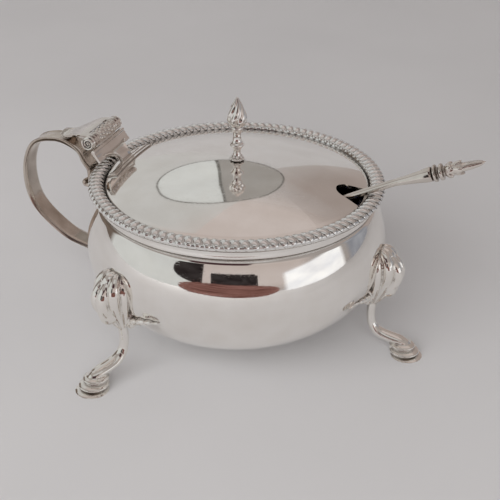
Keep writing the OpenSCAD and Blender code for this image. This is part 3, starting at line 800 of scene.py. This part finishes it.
# %% Roll the handle's strap
CURL_R = 1.6
CURL_CLOSED = 600
CURL_HALF = 7.4
CURL_GAP = 0.25
CURL_DROP = 4
curl_x = -(BORDER_OUT + CURL_GAP) - CURL_R
curl_z = RIM_Z - CURL_DROP
curl = []
for angle in range(-250, 0, 25):
    curl.append((*on_arc(curl_x, curl_z, CURL_R * (1 + angle / CURL_CLOSED), angle), CURL_HALF))
strap_rows = [
    (curl_x + CURL_R, curl_z, CURL_HALF), (-37.7, 43.7, 7.4), (-39.66, 46.0, 7.0), (-43.13, 48.08, 4.6),
    (-49.8, 49.28, 2.95), (-57.2, 46.88, 2.9), (-60.45, 38.29, 2.9), (-58.6, 28.2, 2.9),
    (-50.3, 20.3, 2.9), (-42.8, 17.45, 2.9), (-35.6, 16.1, 3.1),
]
strap_columns = mirrored([(-1, -0.2), (-0.93, 0), (-0.84, 0), (-0.76, -0.26), (-0.4, -0.2), (0, -0.16)])
handle = rolled("strap", curl + smooth_line(strap_rows, steps=6), strap_columns, thickness=1.0)
round_off(handle)
LUG_HALF = 2.9
lug_outline = [(-38.2, 42.5), (-34.6, 42.5), (-34.6, 40.7), (-38.2, 40.7)]
lug = soften_edges(slab("lug", lug_outline, -LUG_HALF, LUG_HALF), 0.3)
handle = join("loop_handle", [handle, lug])
finish_piece(handle, "pot", "silver_cast", "handle_strap", angle=50)

# %% [markdown]
# ## The feet
# Each foot is a casting: a scallop shell on the knee, leaf tips that lie along the bowl, a thin ankle
# and a hoof with ridges. Ribs, leg and hoof are drawn as bars and stretched balls, overlapping as wax
# pieces would, and then melted into one skin. One foot is modelled and copied twice round the pot.

# %% Draw the shell's ribs, three on each side
ANKLE = (36.3, 0, 14)
rib_lines = [
    (62, [
        (0.4, 14.5), (1.9, 17.6), (3.3, 20.4), (4.1, 23.0), (4.2, 25.2), (3.8, 27.2), (3.1, 28.9),
        (2.2, 30.2), (1.3, 31.0),
    ]),
    (34, [
        (0.4, 14.5), (2.0, 17.2), (3.6, 20.0), (5.0, 22.7), (5.7, 25.0), (5.7, 27.1), (5.0, 29.0),
        (3.7, 30.4), (2.1, 31.2),
    ]),
    (10.5, [
        (0.4, 14.5), (2.2, 16.8), (4.0, 19.1), (5.7, 21.4), (6.8, 23.2), (7.0, 25.1), (6.4, 27.0),
        (5.1, 28.7), (3.4, 29.8),
    ]),
]
rib_sizes = [
    (0.8, 0.45), (0.95, 0.7), (1.05, 1.0), (1.15, 1.3), (1.3, 1.55), (1.35, 1.6), (1.3, 1.45), (1.15, 1.15),
    (0.75, 0.7),
]
foot_parts = []
for turn_by, line in rib_lines:
    stations = [(ANKLE[0] + out, z, *size) for (out, z), size in zip(line, rib_sizes)]
    rib = round_off(wrought("rib", stations, sides=10))
    foot_parts.append(turn(copy_of(rib, "rib_far"), "Z", turn_by, about=ANKLE))
    foot_parts.append(turn(rib, "Z", -turn_by, about=ANKLE))
foot_parts += [
    blob("shell_back", (37.3, 0, 23.6), (3.4, 3.5, 6.6)),
    blob("shell_front", (39.6, 0, 23.8), (3.4, 3.2, 6.4), turns=(0, -14, 0)),
    blob("shell_top", (38.9, 0, 28.6), (3.0, 2.5, 2.9)),
    blob("shell_root", (35.9, -2.3, 18.2), (1.5, 1.7, 2.7)),
    blob("shell_root", (35.9, 2.3, 18.2), (1.5, 1.7, 2.7)),
]
print("ribs on each shell:", 2 * len(rib_lines))

# %% Draw the leg and the hoof
leg_stations = [
    (37.8, 19.4, 1.3, 1.4), (37.0, 16.4, 1.3, 1.5), (36.6, 13.2, 1.2, 1.4), (36.6, 10.4, 1.15, 1.35),
    (37.5, 7.8, 1.3, 1.6), (39.4, 6.3, 1.4, 1.9), (42.2, 5.7, 1.3, 2.1), (44.4, 5.5, 1.15, 2.1),
    (46.2, 5.0, 0.85, 1.7), (47.4, 4.3, 0.5, 1.0),
]
foot_parts.append(round_off(wrought("leg", leg_stations, sides=12)))
foot_parts.append(blob("hoof_core", (45.6, 0, 2.1), (2.8, 2.5, 3.9)))
for x, z, long, wide, high in (
    (46.72, 0.85, 4.42, 4.38, 0.98), (46.1, 2.5, 3.95, 3.75, 0.88), (45.4, 4.1, 3.45, 3.05, 0.82),
):
    foot_parts.append(blob("hoof_ridge", (x, 0, z), (long, wide, high)))
print("parts of the foot so far:", len(foot_parts))

# %% Lay the leaf tips along the bowl
LEAF_OUT = 0.45
LEAF_RISE = 22
for side in (-1, 1):
    for across, z, long, high, thick in (
        (2.4, 17.6, 2.0, 1.5, 1.3), (4.6, 18.8, 1.9, 1.1, 1.1), (7.3, 20.0, 1.9, 0.95, 0.95),
        (10.0, 21.0, 1.6, 0.7, 0.75), (12.2, 21.6, 1.3, 0.4, 0.5),
    ):
        out = sqrt((bowl_r(z) + LEAF_OUT * thick) ** 2 - across**2)
        turns = (side * LEAF_RISE, 0, degrees(atan2(side * across, out)))
        foot_parts.append(blob("leaf_tip", (out, side * across, z), (thick, long, high), turns))
print("parts of the foot:", len(foot_parts))

# %% Melt the casting and copy it
foot = melt(join("shell_foot", foot_parts), grain=0.18, smoothing=3)
slice_off(foot, (0, 0, 0), (0, 0, -1))
tidy(foot)
feet = {"foot_front": foot}
feet["foot_left"] = turn(copy_of(foot, "shell_foot_left"), "Z", -120)
feet["foot_right"] = turn(copy_of(foot, "shell_foot_right"), "Z", 120)
for node, piece in feet.items():
    finish_piece(piece, "pot", "silver_cast", node, angle=60)

# %% [markdown]
# ## The spoon
# The spoon's bowl is hammered into a mould, so it starts as a stretched ball that is cut in half and
# given a thickness. The stem is a faceted bar that swells towards its end, and a cast leafy point
# closes it.

# %% Hammer the bowl of the spoon
TILT = 27
END_TILT = 22.5
SPOON_HALF = 8.5
REST = Vector((BORDER_MID, 0, 46.97))
run, rise = on_arc(0, 0, 1, TILT)
ALONG = Vector((run, 0, rise))
run, rise = on_arc(0, 0, 1, END_TILT)
ALONG_END = Vector((run, 0, rise))
SPOON_LOW = node_box("spoon_bowl")[0]
spoon_sizes = (SPOON_HALF, 6, 3.2)
spoon_tip = (REST.x - SPOON_LOW.x) / ALONG.x
spoon_root = spoon_tip - 2 * SPOON_HALF
spoon = start("spoon_bowl_mesh", "uv_sphere", segments=48, ring_count=24, radius=MM, scale=spoon_sizes)
slice_off(spoon, (0, 0, 0), (0, 0, 1), fill=False)
tidy(spoon)
modify(spoon, "SOLIDIFY", thickness=0.6 * MM, offset=-1)
soften_edges(spoon, 0.15)
turn(spoon, "Y", -TILT)
spoon_middle = REST - ALONG * (spoon_tip - SPOON_HALF)
shift(spoon, *spoon_middle)
finish_piece(spoon, "spoon", "silver", "spoon_bowl")

# %% Draw the stem
BEND = 5.2
FLARE = 9.4
spoon_rows = []
for along, thick, wide in (
    (-spoon_root - 0.6, 0.5, 1.3), (-spoon_root + 2, 0.75, 0.95), (-30, 0.85, 0.9), (-8, 0.85, 0.95),
    (0, 0.88, 1.0),
):
    place = REST + ALONG * along
    spoon_rows.append((place.x, place.z, thick, wide))
bend = REST + ALONG * BEND
for share, thick, wide in (
    (0, 0.95, 1.05), (0.35, 1.2, 1.3), (0.7, 1.6, 1.65), (0.93, 1.98, 2.0), (1, 1.85, 1.9),
):
    place = bend + ALONG_END * FLARE * share
    spoon_rows.append((place.x, place.z, thick, wide))
spoon_stem = wrought("spoon_stem_mesh", spoon_rows, sides=8)
soften_edges(spoon_stem, 0.18, segments=3, angle=25)
finish_piece(spoon_stem, "spoon", "silver", "spoon_stem", angle=30)

# %% Cast the leafy end
TERMINAL = 12.9
core_rows = [
    (0, 0), (1.5, 0), (1.5, 0.25), (2.12, 0.5), (2.12, 1.0), (1.3, 1.3), (1.3, 1.65), (2.05, 2.0),
    (2.05, 2.6), (1.2, 2.95), (1.2, 3.3), (1.7, 3.7), (1.6, 4.4), (1.5, 5.2), (1.3, 6.4), (1.05, 8.2),
    (0.78, 10.2), (0.48, 11.8), (0.25, 12.6), (0, TERMINAL),
]
LEAVES = 4
low_leaf = blob("low_leaf", (1.45, 0, 4.2), (0.5, 0.85, 0.95), turns=(0, 24, 0))
turn(low_leaf, "Z", 180 / LEAVES)
high_leaf = blob("high_leaf", (1.25, 0, 6.0), (0.42, 0.8, 1.6), turns=(0, 14, 0))
end_parts = [turned("core", core_rows, steps=32), ring_of(low_leaf, LEAVES), ring_of(high_leaf, LEAVES)]
for side in (-1, 1):
    end_parts.append(blob("long_leaf", (0, side * 0.62, 8.9), (0.85, 0.6, 3.7), turns=(side * 6, 0, 0)))
terminal = melt(join("leafy_end", end_parts), grain=0.11, smoothing=2)
turn(terminal, "Y", 90 - END_TILT)
end_place = bend + ALONG_END * FLARE
shift(terminal, *end_place)
finish_piece(terminal, "spoon", "silver_cast", "spoon_terminal", angle=60)

# %% [markdown]
# ## Finishes
# Polished silver is almost a mirror: what makes it look real is a slow waviness from the hammer, fine
# wiping scratches, and warm grey tarnish and painted shade in the hollows. One small class lets shader
# values be added and multiplied like numbers, and one method adds any other node.


# %% A small class for shader values
class Wire:
    """An output socket of a shader node. Sums and products of it add Math nodes."""

    def __init__(self, tree, socket):
        self.tree = tree
        self.socket = socket

    def node(self, kind, output=0, settings=None, inputs=None):
        """Adds a node to the same tree, sets it, feeds its inputs and returns one of its outputs."""
        node = self.tree.nodes.new(kind)
        for setting, value in (settings or {}).items():
            setattr(node, setting, value)
        for name, value in (inputs or {}).items():
            if isinstance(value, Wire):
                self.tree.links.new(value.socket, node.inputs[name])
            else:
                node.inputs[name].default_value = value
        return Wire(self.tree, node.outputs[output])

    def math(self, operation, first, second):
        return self.node("ShaderNodeMath", settings={"operation": operation}, inputs={0: first, 1: second})

    def __add__(self, other):
        return self.math("ADD", self, other)

    def __radd__(self, other):
        return self.math("ADD", other, self)

    def __rsub__(self, other):
        return self.math("SUBTRACT", other, self)

    def __mul__(self, other):
        return self.math("MULTIPLY", self, other)

    def __truediv__(self, other):
        return self.math("DIVIDE", self, other)

    def stretched(self, factors):
        """Multiplies each coordinate of a place by its own factor."""
        settings = {"operation": "MULTIPLY"}
        return self.node("ShaderNodeVectorMath", settings=settings, inputs={0: self, 1: factors})

    def noise(self, scale, detail=2.0):
        return self.node("ShaderNodeTexNoise", inputs={"Vector": self, "Scale": scale, "Detail": detail})

    def spread(self, low, high):
        """Maps a value so that low becomes 0 and high becomes 1, and clamps it."""
        inputs = {"Value": self, "From Min": low, "From Max": high}
        return self.node("ShaderNodeMapRange", settings={"clamp": True}, inputs=inputs)

    def mix_colours(self, dark, light):
        settings = {"data_type": "RGBA"}
        return self.node("ShaderNodeMix", output=2, settings=settings, inputs={0: self, 6: dark, 7: light})


def new_material(name):
    """A material with its surface shader and a wire of its object coordinates."""
    material = bpy.data.materials.new(name)
    material.use_nodes = True
    tree = material.node_tree
    surface = next(node for node in tree.nodes if node.type == "BSDF_PRINCIPLED")
    place = Wire(tree, tree.nodes.new("ShaderNodeTexCoord").outputs["Object"])
    return material, surface, place


def feed(surface, **wires):
    for name, wire in wires.items():
        wire.tree.links.new(wire.socket, surface.inputs[name.replace("_", " ")])


# %% [markdown]
# The same recipe makes every silver finish. A large noise bends the reflections, a stretched fine noise
# gives the wiping scratches, and ambient occlusion finds the hollows, whose colour is darkened towards a
# warm tarnish tint as painted shade.


# %% Make the silver finishes
HAMMER_SCALE = 38.0
CLOUD_SCALE = 160.0
SCRATCH_SCALE = 900.0
SCRATCH_STRETCH = (1, 14, 5)
# The colour of the hollows: warm tarnish with painted shade.
TARNISH_AND_SHADE = (0.1, 0.078, 0.064, 1)


def silver_finish(name, bright, dull, gloss, wave, shade_reach, shade_darkness):
    material, surface, place = new_material(name)
    large = place.noise(HAMMER_SCALE, 1.0)
    cloud = place.noise(CLOUD_SCALE, 3.0)
    scratch = place.stretched(SCRATCH_STRETCH).noise(SCRATCH_SCALE).spread(0.62, 0.74)
    # Ambient occlusion finds the hollows, and their colour is painted darker: painted shade with a tarnish tint.
    reach = {"Distance": shade_reach * MM}
    shade = place.node("ShaderNodeAmbientOcclusion", output="AO", settings={"samples": 8}, inputs=reach)
    painted_hollow_shade = (1.0 - shade.spread(0.25, 0.9)) * shade_darkness
    tint = cloud.spread(0.3, 0.75).mix_colours((*dull, 1), (*bright, 1))
    colour = painted_hollow_shade.mix_colours(tint, TARNISH_AND_SHADE)
    roughness = gloss + cloud * 0.05 + scratch * 0.05 + painted_hollow_shade * 0.3
    waves = {"Strength": 1.0, "Distance": wave * MM, "Height": large + scratch * 0.004}
    surface.inputs["Metallic"].default_value = 1.0
    feed(surface, Base_Color=colour, Roughness=roughness, Normal=place.node("ShaderNodeBump", inputs=waves))
    return material


# A row holds the bright and the dull tint, the roughness, the height of the waves, and how far and how
# darkly tarnish and painted shade fill the hollows.
finish_rows = {
    "polished": ((0.96, 0.94, 0.91), (0.9, 0.87, 0.83), 0.02, 0.3, 1.0, 0.5),
    "cast": ((0.96, 0.935, 0.9), (0.88, 0.85, 0.8), 0.04, 0.2, 0.9, 0.6),
    "satin": ((0.85, 0.82, 0.77), (0.7, 0.66, 0.6), 0.22, 0.2, 2.5, 0.9),
    "border": ((0.93, 0.93, 0.92), (0.86, 0.85, 0.83), 0.08, 0.2, 0.8, 0.8),
    # Darker, warmer tint for the handle: a painted dark reflection of the dim room.
    "dark_reflection": ((0.78, 0.71, 0.64), (0.48, 0.41, 0.35), 0.1, 0.3, 0.8, 0.6),
    # Darker tint and full-strength hollows for the spoon: painted dark reflection and painted shade.
    "deep_shade_dark": ((0.84, 0.79, 0.74), (0.64, 0.59, 0.54), 0.06, 0.2, 1.2, 1.0),
    "bud": ((0.97, 0.945, 0.92), (0.88, 0.85, 0.81), 0.03, 0.1, 1.1, 0.85),
    # Dimmer, warmer tint for the hinge: a painted dim reflection.
    "dim_reflection": ((0.88, 0.84, 0.8), (0.7, 0.65, 0.6), 0.05, 0.2, 0.8, 0.5),
}
silvers = {name: silver_finish(f"{name} silver", *row) for name, row in finish_rows.items()}
slot_silvers = {"silver": "polished", "silver_cast": "cast", "silver_inside": "satin"}
materials = {slot: silvers[name] for slot, name in slot_silvers.items()}
print("silver finishes:", sorted(silvers))

# %% [markdown]
# Cobalt glass is clear but so deep in colour that it looks almost black where it is thick. The colour
# sits in the glass, and faint clouds in it keep it from looking like plastic.

# %% Make the cobalt glass
glass, surface, place = new_material("cobalt glass")
cloud = place.noise(70.0).spread(0.3, 0.7)
feed(surface, Base_Color=cloud.mix_colours((0.03, 0.06, 0.36, 1), (0.05, 0.1, 0.48, 1)))
feed(surface, Roughness=0.015 + place.noise(400.0) * 0.03)
surface.inputs["Transmission Weight"].default_value = 1.0
surface.inputs["IOR"].default_value = 1.5
materials["cobalt_glass"] = glass
print("slots with a finish:", sorted(materials))

# %% [markdown]
# Every piece takes the finish of its slot, except a few. The handle, the hinge and the spoon's stem and
# end get darker tints as painted dark reflections, and the finial, the border and the spoon's stem and end
# get more painted shade in their hollows. The imported nodes that stay visible, such as the rings inside
# the neck and the nut under the lid, take theirs from the record.

# %% Hand out the finishes
record_slots = {part["node"]: part["material_slot"] for part in frame["record"]["subparts"]}
# The darker tints and deeper hollows below are painted reflection and painted shade.
special = {
    border: "border", handle: "dark_reflection", hinge_leaf: "dim_reflection", strap: "dim_reflection",
    terminal: "deep_shade_dark", spoon_stem: "deep_shade_dark", finial: "bud",
}
for piece in dressed:
    piece.data.materials.clear()
    piece.data.materials.append(silvers.get(special.get(piece), materials[piece["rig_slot"]]))
for node, shown in frame["nodes"].items():
    if not shown.hide_render:
        shown.data.materials.clear()
        shown.data.materials.append(materials[record_slots[node]])
        print("finish on packed node:", node)

# %% [markdown]
# ## The studio
# Silver shows its surroundings, so the room matters as much as the metal. The pot stands on pale paper
# that runs up behind it, and one broad soft lamp lights it from the front.

# %% Lay the pale floor and its rising back
FLOOR_HALF = 1100
FLOOR_TURN = 18
floor_line = [(-1200, 0), (420, 0), (520, 12), (600, 50), (660, 120), (700, 240), (720, 900)]
floor = draw_line("floor", [(-FLOOR_HALF, y, z) for y, z in floor_line])
edit(floor)
pull(point(2 * FLOOR_HALF, 0, 0))
tidy(floor)
round_off(floor, 2)
only(floor)
bpy.ops.object.shade_smooth()
turn(floor, "Z", FLOOR_TURN)
paper, surface, place = new_material("pale paper")
cloud = place.noise(9.0, 3.0).spread(0.3, 0.7)
feed(surface, Base_Color=cloud.mix_colours((0.65, 0.65, 0.66, 1), (0.69, 0.69, 0.7, 1)))
surface.inputs["Roughness"].default_value = 0.9
floor.data.materials.append(paper)
print("floor faces:", len(floor.data.polygons))

# %% Hang the lamp
POT_MIDDLE = point(0, 0, 40)


def towards(place, target):
    """Turn of a lamp or a card at one place that faces another."""
    return (target - place).to_track_quat("-Z", "Y").to_euler()


def seen_from_pot(around, height, distance):
    """A place in millimetres from the pot: degrees from straight behind, degrees up, and distance."""
    a, e = radians(around), radians(height)
    return point(sin(a) * cos(e), cos(a) * cos(e), sin(e)) * distance + POT_MIDDLE


lamp_place = seen_from_pot(-174, 27, 1000)
bpy.ops.object.light_add(type="AREA", location=lamp_place, rotation=towards(lamp_place, POT_MIDDLE))
lamp = bpy.context.object
lamp.name = "soft lamp"
lamp.data.shape = "RECTANGLE"
lamp.data.size = 1.4
lamp.data.size_y = 0.9
lamp.data.energy = 11.6
lamp.visible_glossy = False
world = bpy.data.worlds.new("room")
bpy.context.scene.world = world
world.use_nodes = True
background = world.node_tree.nodes["Background"].inputs
background["Color"].default_value = (0.34, 0.31, 0.295, 1)
background["Strength"].default_value = 1.0
print("lamp energy:", lamp.data.energy)

# %% [markdown]
# Around the pot hang cards that only mirrors see: a round lamp in two halves for the lid, a white panel
# and a bright window at the sides, and rosy and dark cards in front, so that the belly shows both light
# and dark, as polished silver always does. One more lies on the paper and brightens the underside.

# %% Mix the finishes of the cards
CARD_HALF = MM / 2
CARD_SCALE = 2600.0


def glow(name, light, dark, strength, soft, streaks=1.0):
    """A finish that shines by itself, cloudy or streaky, and fades out towards the card's edges."""
    material, surface, place = new_material(name)
    cloud = place.stretched((1, streaks, 1)).noise(CARD_SCALE).spread(0.35, 0.65)
    feed(surface, Emission_Color=cloud.mix_colours((*dark, 1), (*light, 1)))
    fade = 1.0
    for axis in ("X", "Y"):
        across = place.node("ShaderNodeSeparateXYZ", output=axis, inputs={0: place})
        from_middle = place.math("ABSOLUTE", across, 0.0) / CARD_HALF
        fade = (1.0 - from_middle).spread(0.0, soft) * fade
    feed(surface, Alpha=fade)
    surface.inputs["Base Color"].default_value = (0, 0, 0, 1)
    surface.inputs["Specular IOR Level"].default_value = 0
    surface.inputs["Emission Strength"].default_value = strength
    return material


# A row holds the light and the dark tint, the strength, how softly the edges fade, and the streaks.
glow_rows = {
    "white panel": ((0.98, 1.0, 0.98), (0.9, 0.92, 0.91), 0.64, 0.12),
    "lamp white": ((0.98, 1.0, 0.98), (0.92, 0.94, 0.93), 0.64, 0.01),
    "lamp dim": ((1.0, 0.95, 0.9), (0.9, 0.85, 0.8), 0.34, 0.01),
    "lamp rim": ((1.0, 0.96, 0.88), (0.8, 0.76, 0.7), 0.15, 0.01),
    "soft panel": ((1.0, 0.99, 0.97), (0.9, 0.89, 0.87), 0.56, 0.5),
    "bright table": ((1.0, 0.99, 0.97), (0.9, 0.89, 0.87), 0.8, 0.9),
    "window light": ((1.0, 1.0, 1.0), (0.8, 0.81, 0.85), 1.05, 0.15),
    "grey card": ((0.9, 0.92, 1.0), (0.6, 0.62, 0.7), 0.36, 0.3),
    "rosy card": ((1.0, 0.89, 0.85), (0.88, 0.76, 0.71), 0.56, 0.4),
    "red-brown card": ((0.9, 0.46, 0.4), (0.22, 0.08, 0.06), 0.34, 0.05, 9.0),
    "dark card": ((1.0, 0.85, 0.85), (0.4, 0.3, 0.3), 0.04, 0.03),
    "dark drape": ((1.0, 0.5, 0.55), (0.5, 0.22, 0.26), 0.07, 0.15),
    "warm wall": ((1.0, 0.86, 0.8), (0.85, 0.72, 0.66), 0.37, 0.5),
    "brown wall": ((1.0, 0.8, 0.66), (0.7, 0.54, 0.44), 0.17, 0.3),
}
glows = {name: glow(name, *row) for name, row in glow_rows.items()}
print("finishes of cards:", len(glows))

# %% Helpers that make a card and hang it
HALF_GAP = 0.012


def hang(piece, around, height, distance, wide, high, shade):
    """Hangs a flat card of unit size where only mirrors see it."""
    piece.location = seen_from_pot(around, height, distance)
    piece.rotation_euler = towards(piece.location, POT_MIDDLE)
    piece.scale = (wide, high, 1)
    piece.data.materials.append(glows[shade])
    piece.visible_camera = False
    piece.visible_diffuse = False
    piece.visible_shadow = False


def card(name):
    return start(name, "plane", size=MM)


def round_card(name):
    return start(name, "circle", vertices=64, radius=CARD_HALF, fill_type="NGON")


def half_disc(name, side):
    return slice_off(round_card(name), (side * HALF_GAP, 0, 0), (-side, 0, 0), fill=False)


# %% Hang the cards that the silver mirrors
hang(half_disc("lamp half left", 1), -24, 37, 560, 264, 264, "lamp white")
hang(half_disc("lamp half right", -1), -24, 37, 560, 264, 264, "lamp dim")
hang(round_card("lamp rim"), -24, 37, 564, 274, 274, "lamp rim")
hang(card("back left wall"), -54, 32, 630, 860, 900, "soft panel")
hang(card("back right wall"), 30, 24, 640, 1200, 800, "warm wall")
hang(card("upper back wall"), -10, 68, 700, 1300, 700, "rosy card")
hang(card("ceiling"), 165, 64, 760, 900, 430, "soft panel")
hang(card("left wall"), -78, 12, 600, 420, 480, "brown wall")
hang(card("left panel"), -128, 12, 560, 900, 480, "white panel")
hang(card("front wall"), 165, 20, 680, 2600, 620, "rosy card")
hang(round_card("red-brown disc"), 166, -1.5, 330, 470, 82, "red-brown card")
hang(card("dark bar"), 163, 10, 600, 330, 110, "dark card")
hang(card("dark post"), 151, 7, 590, 110, 140, "dark card")
hang(half_disc("dark edge", -1), -176, 13, 550, 470, 185, "dark card")
hang(card("dark drape"), 174, 36, 640, 520, 230, "dark drape")
hang(card("right window"), 102, 3, 560, 540, 205, "window light")
hang(card("right wall"), 58, 8, 600, 340, 340, "grey card")
sheen = card("bright table")
hang(sheen, 122, 0, 85, 150, 150, "bright table")
sheen.location.z = MM / 2
sheen.rotation_euler = (0, 0, 0)

# %% [markdown]
# ## The camera
# The camera looks down on the pot from its front right. Its direction is set from two angles and a
# slight roll, so it is easy to read and to change.

# %% Place the camera
CAMERA_PLACE = (0.0771, -0.2165, 0.1508)
AZIMUTH = radians(18.75)
HEIGHT = radians(28.99)
ROLL = radians(0.44)
looking = Euler((pi / 2 - HEIGHT, 0, AZIMUTH)).to_matrix() @ Matrix.Rotation(ROLL, 3, "Z")
bpy.ops.object.camera_add(location=CAMERA_PLACE)
camera = bpy.context.object
camera.rotation_euler = looking.to_euler()
camera.data.lens = 72
camera.data.sensor_width = 36
camera.data.clip_start = 0.01
bpy.context.scene.camera = camera
bpy.context.scene.view_settings.view_transform = "Standard"
print("camera lens:", camera.data.lens)
